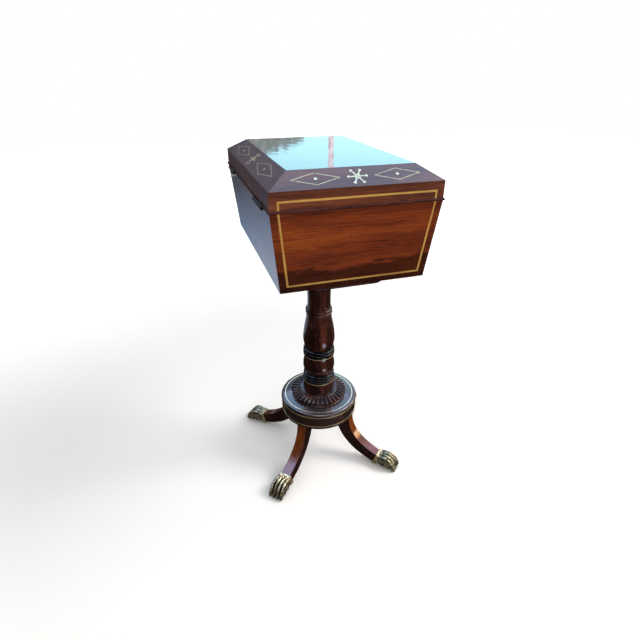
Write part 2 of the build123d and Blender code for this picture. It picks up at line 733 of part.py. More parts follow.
with BuildPart() as lion_paw:
    add(flat_faced([paw_section(*section) for section in paw_sections]))
    for toe in toes:
        add(toe_solid(toe))
        add(claw(toe))
    # square cuff round the ankle
    ankle_middle = ((ankle_outer[0] + ankle_inner[0]) / 2, 0, (ankle_outer[1] + ankle_inner[1]) / 2)
    cuff_plane = Plane(ankle_middle, x_dir=(0, 1, 0), z_dir=(ankle_way[0], 0, ankle_way[1]))
    with BuildSketch(cuff_plane.offset(cuff_reach - cuff_length)):
        Rectangle(leg_width + 2 * cuff_margin, ankle_depth + 2 * cuff_margin)
    extrude(amount=cuff_length)
    add(sabre_leg.part, mode=Mode.SUBTRACT)
    # everything below the sole is trimmed off, then the castor's well and pin hole
    with Locations((castor_reach, 0, sole_z)):
        Box(castor_reach, castor_reach, cuff_length, align=(Align.CENTER, Align.CENTER, Align.MAX),
            mode=Mode.SUBTRACT)
    with BuildSketch(Plane((castor_reach, 0, 0))):
        RegularPolygon(castor_well_radius, well_flats_in_paw, major_radius=False)
    extrude(amount=well_top_z, mode=Mode.SUBTRACT)
    with Locations((castor_reach, 0, 0)):
        Cylinder(fork_pin_radius + running_gap, fork_pin_top_z + clear_gap,
                 align=(Align.CENTER, Align.CENTER, Align.MIN), mode=Mode.SUBTRACT)

fork_half_width = wheel_width / 2 + cheek_gap + cheek
crown_half = 7.0
eye = 4.0
with BuildPart() as castor_fork:
    with BuildSketch(Plane.XZ):
        Polygon((axle_x - eye, wheel_radius), (castor_reach - crown_half, crown_low_z),
                (castor_reach - crown_half, crown_top_z), (castor_reach + crown_half, crown_top_z),
                (castor_reach + crown_half, crown_low_z), (axle_x + eye, wheel_radius),
                (axle_x + eye / 2, wheel_radius - eye), (axle_x - eye / 2, wheel_radius - eye), align=None)
    extrude(amount=fork_half_width, both=True)
    with Locations((castor_reach, 0, crown_low_z)):
        Box(4 * crown_half, wheel_width + 2 * cheek_gap, crown_low_z,
            align=(Align.CENTER, Align.CENTER, Align.MAX), mode=Mode.SUBTRACT)
    with Locations((castor_reach, 0, crown_low_z)):
        Cylinder(fork_pin_radius, fork_pin_top_z - crown_low_z, align=(Align.CENTER, Align.CENTER, Align.MIN))
    with Locations((axle_x, 0, wheel_radius)):
        Cylinder(axle_radius, 2 * fork_half_width, rotation=(90, 0, 0))

with BuildPart() as castor_wheel:
    with Locations((axle_x, 0, wheel_radius)):
        Cylinder(wheel_radius, wheel_width, rotation=(90, 0, 0))
        Cylinder(axle_radius + running_gap, wheel_width, rotation=(90, 0, 0), mode=Mode.SUBTRACT)

for corner, azimuth in corners.items():
    for piece, name in ((sabre_leg, "leg"), (lion_paw, "paw"), (castor_fork, "castor_fork"),
                        (castor_wheel, "castor_wheel")):
        with BuildPart() as turned_piece:
            add(piece.part, rotation=(0, 0, azimuth))
        save(turned_piece, f"{name}_{corner}")
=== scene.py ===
from math import cos, hypot, pi, radians, sin

import bmesh
import bpy
from mathutils import Matrix, Vector


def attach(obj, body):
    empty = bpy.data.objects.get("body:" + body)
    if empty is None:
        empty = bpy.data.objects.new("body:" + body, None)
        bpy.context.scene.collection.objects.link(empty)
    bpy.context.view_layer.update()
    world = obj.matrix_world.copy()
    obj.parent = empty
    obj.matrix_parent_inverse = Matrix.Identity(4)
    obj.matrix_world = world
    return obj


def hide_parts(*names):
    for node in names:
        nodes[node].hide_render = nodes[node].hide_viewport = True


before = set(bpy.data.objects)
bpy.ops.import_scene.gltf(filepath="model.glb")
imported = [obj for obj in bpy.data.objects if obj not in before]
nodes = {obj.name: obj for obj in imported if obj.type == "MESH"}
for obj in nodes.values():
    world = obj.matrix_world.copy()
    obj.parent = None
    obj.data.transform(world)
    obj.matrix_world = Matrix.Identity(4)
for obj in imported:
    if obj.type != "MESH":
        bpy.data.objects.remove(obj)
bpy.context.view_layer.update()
mm = 0.001
weld = 0.01 * mm
bpy.context.scene.view_settings.view_transform = "Standard"
print("frame loaded:", len(nodes), "nodes")

# angles of the feet, and the way out of each side
corners = {"back_right": 45, "back_left": 135, "front_left": 225, "front_right": 315}
sides = {"front": (0, -1), "back": (0, 1), "left_end": (-1, 0), "right_end": (1, 0)}


# colours, nodes and objects
def hexColour(code):
    # sRGB hex to the linear colour that a shader wants
    parts = [int(code[i:i + 2], 16) / 255 for i in (1, 3, 5)]
    linear = [c / 12.92 if c <= 0.04045 else ((c + 0.055) / 1.055) ** 2.4 for c in parts]
    return (*linear, 1.0)


def addNode(tree, kind, settings=None, inputs=None):
    # an input is a value, a socket to link, or a node, which stands for its first output
    added = tree.nodes.new("ShaderNode" + kind)
    for key, value in (settings or {}).items():
        setattr(added, key, value)
    for key, value in (inputs or {}).items():
        if isinstance(value, bpy.types.Node):
            value = value.outputs[0]
        if isinstance(value, bpy.types.NodeSocket):
            tree.links.new(value, added.inputs[key])
        else:
            added.inputs[key].default_value = value
    return added


def meshFrom(bm, name):
    mesh = bpy.data.meshes.new(name)
    bm.to_mesh(mesh)
    bm.free()
    return mesh


def addObject(name, data):
    added = bpy.data.objects.new(name, data)
    bpy.context.scene.collection.objects.link(added)
    return added


def newMaterial(name):
    material = bpy.data.materials.new(name)
    material.use_nodes = True
    material.node_tree.nodes.clear()
    return material, material.node_tree


def setRamp(rampNode, stops):
    ramp = rampNode.color_ramp
    while len(ramp.elements) > 1:
        ramp.elements.remove(ramp.elements[0])
    ramp.elements[0].position = stops[0][0]
    ramp.elements[0].color = hexColour(stops[0][1])
    for place, code in stops[1:]:
        ramp.elements.new(place).color = hexColour(code)


# share of rays that get out where a hollow is darkest, and where its shade ends
hollowSpan = (0.25, 0.85)


def hollowShade(tree, reach, darkest):
    # painted shade: 1 on open faces, darker in grooves that are narrower than reach in mm
    shade = addNode(tree, "AmbientOcclusion", {"samples": 8}, {"Distance": reach * mm})
    return addNode(tree, "MapRange", {"interpolation_type": "SMOOTHSTEP"}, {
        "Value": shade.outputs["AO"], "From Min": hollowSpan[0], "From Max": hollowSpan[1],
        "To Min": darkest})


# Rosewood under French polish: fine straight lines on broad swells of colour, thin near-black veins
# and open pores, under a thin clear film whose slight ripple bends what it mirrors.
grainTurns = {"x": (0, 0), "y": (0, pi / 2), "z": (pi / 2, 0)}
rosewoodLook = {
    # noises drawn out along the grain: length along it and width across it in mm, detail; the pores are
    # drawn about twice as wide as real ones, which would be too fine to see
    "layers": {"lines": (230.0, 1.3, 4.0), "swells": (340.0, 30.0, 2.0), "veins": (260.0, 9.0, 3.0),
               "pores": (8.0, 0.35, 2.0)},
    "lineShare": 0.6, "swellShare": 0.4,
    # the slow wave that bends the lines, in mm
    "waveLength": 110.0, "waveWidth": 45.0, "wave": 9.0,
    "veinHalf": 0.016, "veinTone": 0.55,
    "poreStart": 0.55, "poreEnd": 0.72, "poreTone": 0.6, "poreDepth": 0.2, "poreStrength": 0.05,
    # the ripple of the film, in mm
    "ripple": 16.0, "rippleDepth": 0.4, "rippleStrength": 0.35,
    # the heartwood's edge: its scale along x, y and z, and how far it wanders, in m
    "edgeScale": (11.0, 11.0, 45.0), "edgeWander": 0.06,
    "borderTone": 0.7, "paintedShadeTone": 0.15, "roughness": 0.42}


def grainPlace(tree, place, grain, shift, turn, tilt):
    # the piece's own coordinates, turned along its grain and bent by the wave
    turnY, turnZ = grainTurns[grain]
    turned = addNode(tree, "Mapping", inputs={
        "Vector": place.outputs["Object"], "Location": (shift, shift, shift),
        "Rotation": (0, turnY, turnZ - turn)})
    if tilt:
        turned = addNode(tree, "Mapping", inputs={"Vector": turned, "Rotation": (0, -tilt, 0)})
    along, across = 1 / (rosewoodLook["waveLength"] * mm), 1 / (rosewoodLook["waveWidth"] * mm)
    wavePlace = addNode(tree, "Mapping", inputs={"Vector": turned, "Scale": (along, across, across)})
    wave = addNode(tree, "TexNoise", inputs={"Vector": wavePlace, "Scale": 1.0, "Detail": 1.0})
    bend = rosewoodLook["wave"] * mm
    return addNode(tree, "VectorMath", {"operation": "MULTIPLY_ADD"}, {
        0: wave.outputs["Color"], 1: (0, bend, bend), 2: turned})


def heartwood(tree, place, foot):
    # dark heartwood along the board's foot, with a wavy upper edge
    axes = addNode(tree, "SeparateXYZ", inputs={"Vector": place.outputs["Object"]})
    edgePlace = addNode(tree, "Mapping", inputs={
        "Vector": place.outputs["Object"], "Scale": rosewoodLook["edgeScale"]})
    edge = addNode(tree, "TexNoise", inputs={
        "Vector": edgePlace, "Scale": 1.0, "Detail": 4.0, "Roughness": 0.6})
    lift = addNode(tree, "Math", {"operation": "MULTIPLY_ADD"}, {
        0: edge.outputs["Fac"], 1: rosewoodLook["edgeWander"], 2: axes.outputs["Z"]})
    return addNode(tree, "MapRange", {"interpolation_type": "SMOOTHSTEP"}, {
        "Value": lift, "From Min": foot["low"], "From Max": foot["high"], "To Min": foot["tone"]})


def darkBorder(tree, place, margin):
    # the border outside the stringing is a darker cut; its edge leans with the board's ends
    axes = addNode(tree, "SeparateXYZ", inputs={"Vector": place.outputs["Object"]})
    aside = addNode(tree, "Math", {"operation": "ABSOLUTE"}, {0: axes.outputs[margin["axis"]]})
    leaning = addNode(tree, "Math", {"operation": "MULTIPLY_ADD"}, {
        0: axes.outputs["Z"], 1: -margin["lean"], 2: aside})
    outside = addNode(tree, "Math", {"operation": "GREATER_THAN"}, {0: leaning, 1: margin["start"]})
    under = addNode(tree, "Math", {"operation": "LESS_THAN"}, {0: axes.outputs["Z"], 1: margin["foot"]})
    either = addNode(tree, "Math", {"operation": "MAXIMUM"}, {0: outside, 1: under})
    return addNode(tree, "MapRange", inputs={
        "Value": either, "To Min": 1.0, "To Max": rosewoodLook["borderTone"]})


def rosewood(name, grain, stops, film, filmRoughness, gloss, shift=0.0, turn=0.0, tilt=0.0, darkFoot=None,
             margin=None, shadeReach=0.0):
    material, tree = newMaterial(name)
    place = addNode(tree, "TexCoord")
    wavy = grainPlace(tree, place, grain, shift, turn, tilt)
    layers = {}
    for layer, (length, width, detail) in rosewoodLook["layers"].items():
        drawn = addNode(tree, "Mapping", inputs={
            "Vector": wavy, "Scale": (1 / (length * mm), 1 / (width * mm), 1 / (width * mm))})
        layers[layer] = addNode(tree, "TexNoise", inputs={
            "Vector": drawn, "Scale": 1.0, "Detail": detail, "Roughness": 0.6}).outputs["Fac"]
    broad = addNode(tree, "Math", {"operation": "MULTIPLY"}, {
        0: layers["swells"], 1: rosewoodLook["swellShare"]})
    figure = addNode(tree, "Math", {"operation": "MULTIPLY_ADD"}, {
        0: layers["lines"], 1: rosewoodLook["lineShare"], 2: broad})
    colours = addNode(tree, "ValToRGB", inputs={"Fac": figure})
    setRamp(colours, stops)
    offVein = addNode(tree, "Math", {"operation": "SUBTRACT"}, {0: layers["veins"], 1: 0.5})
    farFromVein = addNode(tree, "Math", {"operation": "ABSOLUTE"}, {0: offVein})
    veinTone = addNode(tree, "MapRange", inputs={
        "Value": farFromVein, "From Max": rosewoodLook["veinHalf"], "To Min": rosewoodLook["veinTone"]})
    poreTone = addNode(tree, "MapRange", inputs={
        "Value": layers["pores"], "From Min": rosewoodLook["poreStart"], "From Max": rosewoodLook["poreEnd"],
        "To Min": 1.0, "To Max": rosewoodLook["poreTone"]})
    tones = [poreTone]
    if darkFoot:
        tones.append(heartwood(tree, place, darkFoot))
    if margin:
        tones.append(darkBorder(tree, place, margin))
    if shadeReach:
        # painted shade: the wood is darkened in its grooves and carving, where little light gets in
        tones.append(hollowShade(tree, shadeReach, rosewoodLook["paintedShadeTone"]))
    tone = veinTone
    for darker in tones:
        tone = addNode(tree, "Math", {"operation": "MULTIPLY"}, {0: tone, 1: darker})
    toned = addNode(tree, "VectorMath", {"operation": "SCALE"}, {0: colours.outputs["Color"], "Scale": tone})
    bump = addNode(tree, "Bump", inputs={
        "Height": layers["pores"], "Strength": rosewoodLook["poreStrength"],
        "Distance": rosewoodLook["poreDepth"] * mm})
    ripplePattern = addNode(tree, "TexNoise", inputs={
        "Vector": place.outputs["Object"], "Scale": 1 / (rosewoodLook["ripple"] * mm), "Detail": 2.0})
    ripple = addNode(tree, "Bump", inputs={
        "Height": ripplePattern.outputs["Fac"], "Strength": rosewoodLook["rippleStrength"],
        "Distance": rosewoodLook["rippleDepth"] * mm})
    shader = addNode(tree, "BsdfPrincipled", inputs={
        "Base Color": toned, "Roughness": rosewoodLook["roughness"], "IOR": 1.5,
        "Specular IOR Level": gloss, "Coat Weight": film, "Coat Roughness": filmRoughness,
        "Coat Normal": ripple, "Normal": bump})
    addNode(tree, "OutputMaterial", inputs={"Surface": shader})
    return material


# Brass: warm yellow metal under old lacquer, so part of its light comes back as from a paint. Inlay is
# rubbed flush and dull, cast feet are tarnished grey-green, with painted shade darkening their hollows.
brassLook = {"paintedShadeTone": 0.02, "smoother": 0.06, "rougher": 0.14, "gritStrength": 0.08, "gritDepth": 0.3}


def brass(name, bright, dull, metal, roughness, patchSize, patchSpan, grit, shadeReach=0.0):
    # patchSize, grit, the grain of the rubbing, and its depth are in mm; dull turns to bright in patchSpan
    material, tree = newMaterial(name)
    place = addNode(tree, "TexCoord")
    patches = addNode(tree, "TexNoise", inputs={
        "Vector": place.outputs["Object"], "Scale": 1 / (patchSize * mm), "Detail": 4.0})
    blend = addNode(tree, "MapRange", {"interpolation_type": "SMOOTHSTEP"}, {
        "Value": patches.outputs["Fac"], "From Min": patchSpan[0], "From Max": patchSpan[1]})
    colour = addNode(tree, "Mix", {"data_type": "RGBA"}, {
        "Factor": blend, "A": hexColour(dull), "B": hexColour(bright)})
    shown = colour.outputs["Result"]
    # painted shade: the hollows are darkened almost to black
    if shadeReach:
        shown = addNode(tree, "VectorMath", {"operation": "SCALE"}, {
            0: shown, "Scale": hollowShade(tree, shadeReach, brassLook["paintedShadeTone"])})
    grain = addNode(tree, "TexNoise", inputs={
        "Vector": place.outputs["Object"], "Scale": 1 / (grit * mm), "Detail": 2.0})
    rough = addNode(tree, "MapRange", inputs={
        "Value": grain.outputs["Fac"], "To Min": roughness - brassLook["smoother"],
        "To Max": roughness + brassLook["rougher"]})
    bump = addNode(tree, "Bump", inputs={
        "Height": grain.outputs["Fac"], "Strength": brassLook["gritStrength"],
        "Distance": brassLook["gritDepth"] * mm})
    shader = addNode(tree, "BsdfPrincipled", inputs={
        "Base Color": shown, "Metallic": metal, "Roughness": rough, "Normal": bump})
    addNode(tree, "OutputMaterial", inputs={"Surface": shader})
    return material


# Ebonised wood: stained black and polished, so it shows form by its highlights alone. wear is in mm.
ebonyLook = {"colour": "#070505", "wear": 12.0, "smoothest": 0.18, "roughest": 0.32, "gloss": 0.1,
             "film": 0.4, "filmRoughness": 0.04}


def ebonised(name):
    material, tree = newMaterial(name)
    place = addNode(tree, "TexCoord")
    wear = addNode(tree, "TexNoise", inputs={
        "Vector": place.outputs["Object"], "Scale": 1 / (ebonyLook["wear"] * mm), "Detail": 4.0})
    rough = addNode(tree, "MapRange", inputs={
        "Value": wear.outputs["Fac"], "To Min": ebonyLook["smoothest"], "To Max": ebonyLook["roughest"]})
    shader = addNode(tree, "BsdfPrincipled", inputs={
        "Base Color": hexColour(ebonyLook["colour"]), "Roughness": rough, "IOR": 1.5,
        "Specular IOR Level": ebonyLook["gloss"], "Coat Weight": ebonyLook["film"],
        "Coat Roughness": ebonyLook["filmRoughness"]})
    addNode(tree, "OutputMaterial", inputs={"Surface": shader})
    return material


# Blown and cut glass: clear, faintly grey-green in its thickness.
def bowlGlass(name):
    material, tree = newMaterial(name)
    shader = addNode(tree, "BsdfPrincipled", inputs={
        "Base Color": hexColour("#eef5f2"), "Roughness": 0.03, "IOR": 1.52, "Transmission Weight": 1.0})
    addNode(tree, "OutputMaterial", inputs={"Surface": shader})
    return material


# colours of the wood from its dark lines to its light ones
redStops = [(0.34, "#37130a"), (0.44, "#5f250b"), (0.52, "#76300d"), (0.64, "#8f4415")]
bandStops = [(0.36, "#38180c"), (0.45, "#502412"), (0.52, "#64301a"), (0.62, "#82472a")]
slopeStops = [(0.36, "#3f2321"), (0.46, "#56322d"), (0.54, "#663d36"), (0.64, "#7a4c42")]
beadStops = [(0.36, "#2b1310"), (0.46, "#3d1c17"), (0.54, "#4b241d"), (0.64, "#5e3026")]
plumStops = [(0.36, "#140a09"), (0.46, "#231210"), (0.54, "#341b16"), (0.64, "#48281f")]
darkStops = [(0.38, "#0b0504"), (0.46, "#1c0a06"), (0.53, "#34130a"), (0.62, "#5c2813")]
legStops = [(0.36, "#2c1008"), (0.45, "#4f1f08"), (0.53, "#71350b"), (0.63, "#934f17")]

# box veneers: red-brown with a darker border, and dark heartwood up to these heights in m
endMargin = {"axis": "Y", "lean": 0.1056, "start": 0.0665, "foot": 0.5727}
longMargin = {"axis": "X", "lean": 0.0845, "start": 0.1492, "foot": 0.5727}
redFoot = {"low": 0.628, "high": 0.635, "tone": 0.33}
backFoot = {"low": 0.603, "high": 0.627, "tone": 0.5}
boxEnd = rosewood("rosewoodEndVeneer", "y", redStops, film=0.25, filmRoughness=0.08, gloss=0.1, shift=0.31,
                  darkFoot=redFoot, margin=endMargin)
boxFront = rosewood("rosewoodFrontVeneer", "x", redStops, film=0.25, filmRoughness=0.08, gloss=0.1,
                    shift=0.12, darkFoot=redFoot, margin=longMargin)
# the back keeps its full polish, so it mirrors the sky
boxBack = rosewood("rosewoodBackVeneer", "x", redStops, film=1.0, filmRoughness=0.07, gloss=0.5, shift=0.22,
                   darkFoot=backFoot)
# lid: browner bands, plum slopes, and a near-black panel that is polished like glass
bandEnd = rosewood("rosewoodBandEnd", "y", bandStops, film=0.35, filmRoughness=0.12, gloss=0.2, shift=0.7)
bandLong = rosewood("rosewoodBandLong", "x", bandStops, film=0.4, filmRoughness=0.12, gloss=0.25, shift=0.5)
slopeWood = {side: rosewood("rosewoodSlope_" + side, "y" if side.endswith("end") else "x", slopeStops,
                            film=0.7, filmRoughness=0.1, gloss=0.3, shift=0.8)
             for side in sides}
panelTop = rosewood("rosewoodPolishedPanel", "x", plumStops, film=1.0, filmRoughness=0.02, gloss=0.5,
                    shift=0.2)
beadWood = rosewood("beadDarkened", "x", beadStops, film=0.08, filmRoughness=0.25, gloss=0.08, shift=0.33)
# stand: dark turned and carved wood with painted shade in its hollows, and legs whose sides take a darker
# wood as painted shade
columnWood = rosewood("rosewoodTurned", "z", darkStops, film=0.9, filmRoughness=0.05, gloss=0.12, shift=0.4,
                      shadeReach=5.0)
carvedWood = rosewood("rosewoodCarved", "z", darkStops, film=0.5, filmRoughness=0.12, gloss=0.15,
                      shift=0.45, shadeReach=5.0)
platformWood = rosewood("rosewoodPlatform", "x", plumStops, film=1.0, filmRoughness=0.04, gloss=0.5,
                        shift=0.9)
legWood = {corner: rosewood("rosewoodLeg_" + corner, "x", legStops, film=0.75, filmRoughness=0.06, gloss=0.1,
                            shift=0.15 * i, turn=radians(angle), tilt=radians(42))
           for i, (corner, angle) in enumerate(corners.items())}
legSidesPaintedShade = rosewood("rosewoodLegSidesPaintedShade", "z", plumStops, film=0.4, filmRoughness=0.12, gloss=0.15,
                       shift=0.55)
bearerWood = rosewood("rosewoodBearer", "x", darkStops, film=0.1, filmRoughness=0.3, gloss=0.2, shift=0.6)
# inside: waxed and so duller than the polish outside
caddyWood = rosewood("rosewoodCaddy", "y", bandStops, film=0.5, filmRoughness=0.2, gloss=0.3, shift=0.25)
insideWood = rosewood("rosewoodInside", "x", bandStops, film=0.12, filmRoughness=0.35, gloss=0.2, shift=0.66)
# rubbed inlay shines softly all over; star, lozenges and the line on the platform's top are paler
inlayBrass = brass("brassInlayRubbed", "#dfb05a", "#c8974a", metal=0.55, roughness=0.42,
                   patchSize=40, patchSpan=(0.3, 0.6), grit=0.6)
starBrass = brass("brassInlayPale", "#f2dfbc", "#cfbb92", metal=0.85, roughness=0.28,
                  patchSize=4, patchSpan=(0.35, 0.62), grit=0.6)
lozengeBrass = brass("brassLozengeLine", "#d4b88c", "#9c8560", metal=0.85, roughness=0.3,
                     patchSize=4, patchSpan=(0.35, 0.62), grit=0.6)
bandBrass = brass("brassBandRubbed", "#dcc898", "#c2aa78", metal=0.7, roughness=0.34,
                  patchSize=40, patchSpan=(0.3, 0.6), grit=0.6)
# the cast paws are tarnished grey-green, with painted shade almost black in their hollows; their cuffs are
# worn yellow
castBrass = brass("brassCastTarnished", "#c6bb99", "#6b6554", metal=0.8, roughness=0.24,
                  patchSize=9, patchSpan=(0.36, 0.6), grit=0.9, shadeReach=9.0)
cuffBrass = brass("brassCuffWorn", "#dccc9c", "#978862", metal=0.7, roughness=0.36,
                  patchSize=6, patchSpan=(0.36, 0.6), grit=0.9)
hardwareBrass = brass("brassHardware", "#b8924e", "#6b5530", metal=0.9, roughness=0.34,
                      patchSize=8, patchSpan=(0.35, 0.6), grit=0.7)
hingeBrass = brass("brassHingeDarkened", "#3c2e24", "#1c1512", metal=0.8, roughness=0.42,
                   patchSize=8, patchSpan=(0.35, 0.65), grit=0.7)
steelScrew = brass("steelScrewFiled", "#8a8683", "#45413e", metal=0.9, roughness=0.4,
                   patchSize=3, patchSpan=(0.4, 0.6), grit=0.5)
ebony = ebonised("ebonisedPolished")
glass = bowlGlass("glassCut")
print("materials ready")


# the CAD's own pieces that are right as they are
dressed = [
    (boxEnd, ["box_left_end", "box_right_end"]), (boxFront, ["box_front"]), (boxBack, ["box_back"]),
    (bearerWood, ["box_bottom"]), (panelTop, ["lid_panel"]), (lozengeBrass, ["lid_inlay"]),
    (inlayBrass, ["box_stringing", "lid_stringing", "escutcheon"]),
    (hingeBrass, ["hinge_lower_leaves", "hinge_upper_leaves", "hinge_pins"]),
    (hardwareBrass, ["lock_case", "lock_bolt", "link_plate"]),
    (caddyWood, ["partitions", "well_panel", "caddy_left", "caddy_right"]),
    (glass, ["bowl_back", "bowl_front"]),
    (castBrass, ["castor_" + part + corner for part in ("fork_", "wheel_") for corner in corners]),
]
for material, names in dressed:
    for name in names:
        nodes[name].data.materials.clear()
        nodes[name].data.materials.append(material)
# inner faces are waxed, not polished
outward = {"box_" + side: (*out, 0) for side, out in sides.items()}
outward["lid_panel"] = (0, 0, 1)
for name, direction in outward.items():
    nodes[name].data.materials.append(insideWood)
    for face in nodes[name].data.polygons:
        face.material_index = 1 if face.normal.dot(Vector(direction)) < -0.5 else 0


# helpers for new pieces
def finishPiece(bm, name, material, stands=(), body="stand", smooth=True, sharp=45):
    bmesh.ops.remove_doubles(bm, verts=bm.verts, dist=weld)
    bmesh.ops.recalc_face_normals(bm, faces=bm.faces)
    mesh = meshFrom(bm, name)
    for face in mesh.polygons:
        face.use_smooth = smooth
    if smooth:
        mesh.set_sharp_from_angle(angle=radians(sharp))
    piece = addObject(name, mesh)
    mesh.materials.append(material)
    if stands:
        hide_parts(*stands)
    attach(piece, body)
    return piece


def smoothLine(points, steps=6):
    # a Catmull-Rom line through points, ends kept
    line = []
    last = len(points) - 1
    for i in range(last):
        a, b, c, d = (Vector(points[max(0, min(last, i + k))]) for k in (-1, 0, 1, 2))
        for step in range(steps):
            t = step / steps
            line.append(tuple(0.5 * (2 * b + (c - a) * t + (2 * a - 5 * b + 4 * c - d) * t * t
                                     + (3 * b - a - 3 * c + d) * t ** 3)))
    return line + [tuple(points[-1])]


def between(start, end, share):
    return start + (end - start) * share


def spinProfile(bm, profile, steps=96):
    # turns an outline of (radius, height) in mm about the column's axis
    verts = [bm.verts.new((radius * mm, 0, height * mm)) for radius, height in profile]
    edges = [bm.edges.new(pair) for pair in zip(verts, verts[1:])]
    bmesh.ops.spin(bm, geom=verts + edges, cent=(0, 0, 0), axis=(0, 0, 1), angle=2 * pi, steps=steps,
                   use_merge=True, use_duplicate=False)


# turned column: each piece's outline of (radius, height) in mm, in stretches that are rounded where they
# have more than three points, and its wood
tenonRadius = 14.0
turnings = {
    "column_drum": ([[(38.4, 168.2), (38.4, 212.4), (38.0, 213.0)]], columnWood),
    "column_lower_ring": ([[(37.4, 216), (39.0, 217.2), (39.4, 219.4), (38.8, 221.6), (37.0, 222.8)],
                           [(36.6, 223.2), (38.2, 224.2), (38.7, 226.2), (38.1, 228.2), (36.4, 229.2)],
                           [(36.0, 229.6), (37.5, 230.6), (38.0, 232.6), (37.4, 234.8), (35.8, 236)]], ebony),
    "column_vase": ([[(32.2, 236), (33.4, 238.6), (36.4, 244.5), (38.2, 252), (38.6, 259), (37.9, 267),
                      (36.6, 275), (35.9, 281), (36.2, 286)]], columnWood),
    "column_upper_ring": ([[(36.4, 289.4), (38.0, 290.8), (38.4, 293.6), (37.9, 296.4), (36.2, 297.8)],
                           [(35.8, 298.2), (37.4, 299.4), (37.8, 302.0), (37.2, 304.6), (35.4, 306.0)],
                           [(34.6, 306.4), (34.6, 307.5)]], ebony),
    "column_shaft": ([[(32.0, 307.5), (34.0, 311), (36.6, 320), (37.9, 333), (37.0, 349), (34.0, 369),
                       (30.8, 386), (29.3, 397)],
                      [(28.6, 399.0), (30.8, 400.2), (31.4, 402.4), (30.8, 404.6), (28.8, 405.6)],
                      [(28.8, 406.4), (30.8, 407.6), (31.4, 409.6), (30.8, 411.8), (28.6, 413.2)],
                      [(28.8, 414.6), (27.4, 422), (27.0, 433), (27.2, 452), (28.4, 474), (30.6, 496),
                       (33.4, 512), (35.5, 524.5)],
                      [(38.5, 526), (40.6, 527.4), (41.5, 530), (41.2, 532.6), (40.0, 534)],
                      [(40.0, 534), (40.0, 540)]], columnWood),
}
for name, (stretches, material) in turnings.items():
    outline = [(tenonRadius, stretches[0][0][1])]
    for stretch in stretches:
        outline += smoothLine(stretch) if len(stretch) > 3 else stretch
    outline += [(tenonRadius, stretches[-1][-1][1]), outline[0]]
    bm = bmesh.new()
    spinProfile(bm, outline)
    finishPiece(bm, "turned_" + name, material, (name,))
# each brass band is a thin line between two blackened fillets
bandShape = {"rings": [(39.0, 213.0, 216.0), (37.7, 286.0, 289.4)], "lineHeight": 1.5, "fillet": 0.5}
lines, fillets = bmesh.new(), bmesh.new()
for radius, low, high in bandShape["rings"]:
    lineLow = (low + high - bandShape["lineHeight"]) / 2
    lineHigh = lineLow + bandShape["lineHeight"]
    spinProfile(lines, [(tenonRadius, lineLow), (radius, lineLow), (radius, lineHigh),
                        (tenonRadius, lineHigh), (tenonRadius, lineLow)])
    inset = radius - bandShape["fillet"]
    for start, end in ((low, lineLow), (lineHigh, high)):
        spinProfile(fillets, [(tenonRadius, start), (inset, start),
                              (radius - bandShape["fillet"] / 2, (start + end) / 2), (inset, end),
                              (tenonRadius, end), (tenonRadius, start)])
finishPiece(lines, "bandLines", bandBrass, ("column_brass_bands",))
finishPiece(fillets, "bandFillets", ebony)
print("column turned")

# platform with a rounded rim, and its three flush brass lines
platformShape = {"radius": 94.6, "foot": 123.4, "top": 168.2, "steps": 144,
                 "footEdge": [(93.1, 123.4), (94.1, 123.8), (94.6, 124.9)],
                 "rim": [(94.6, 158.8), (95.6, 161.4), (95.4, 164.4), (93.6, 167.0), (91.2, 168.2)],
                 "lineHeight": 1.8, "edgeLines": (130.2, 156.6), "topLine": 85.6, "topLineWidth": 1.8,
                 "sunk": 0.6, "proud": 0.12}
bm = bmesh.new()
under = (tenonRadius, platformShape["foot"])
spinProfile(bm, [under] + platformShape["footEdge"] + smoothLine(platformShape["rim"])
            + [(tenonRadius, platformShape["top"]), under], platformShape["steps"])
finishPiece(bm, "platformTurned", platformWood, ("platform",))
bm = bmesh.new()
inside = platformShape["radius"] - platformShape["sunk"]
out = platformShape["radius"] + platformShape["proud"]
for z in platformShape["edgeLines"]:
    top = z + platformShape["lineHeight"]
    spinProfile(bm, [(inside, z), (out, z), (out, top), (inside, top), (inside, z)], platformShape["steps"])
finishPiece(bm, "platformEdgeLines", bandBrass)
bm = bmesh.new()
half = platformShape["topLineWidth"] / 2
low, high = platformShape["top"] - platformShape["sunk"], platformShape["top"] + platformShape["proud"]
near, far = platformShape["topLine"] - half, platformShape["topLine"] + half
spinProfile(bm, [(near, low), (far, low), (far, high), (near, high), (near, low)], platformShape["steps"])
finishPiece(bm, "platformTopLine", starBrass)

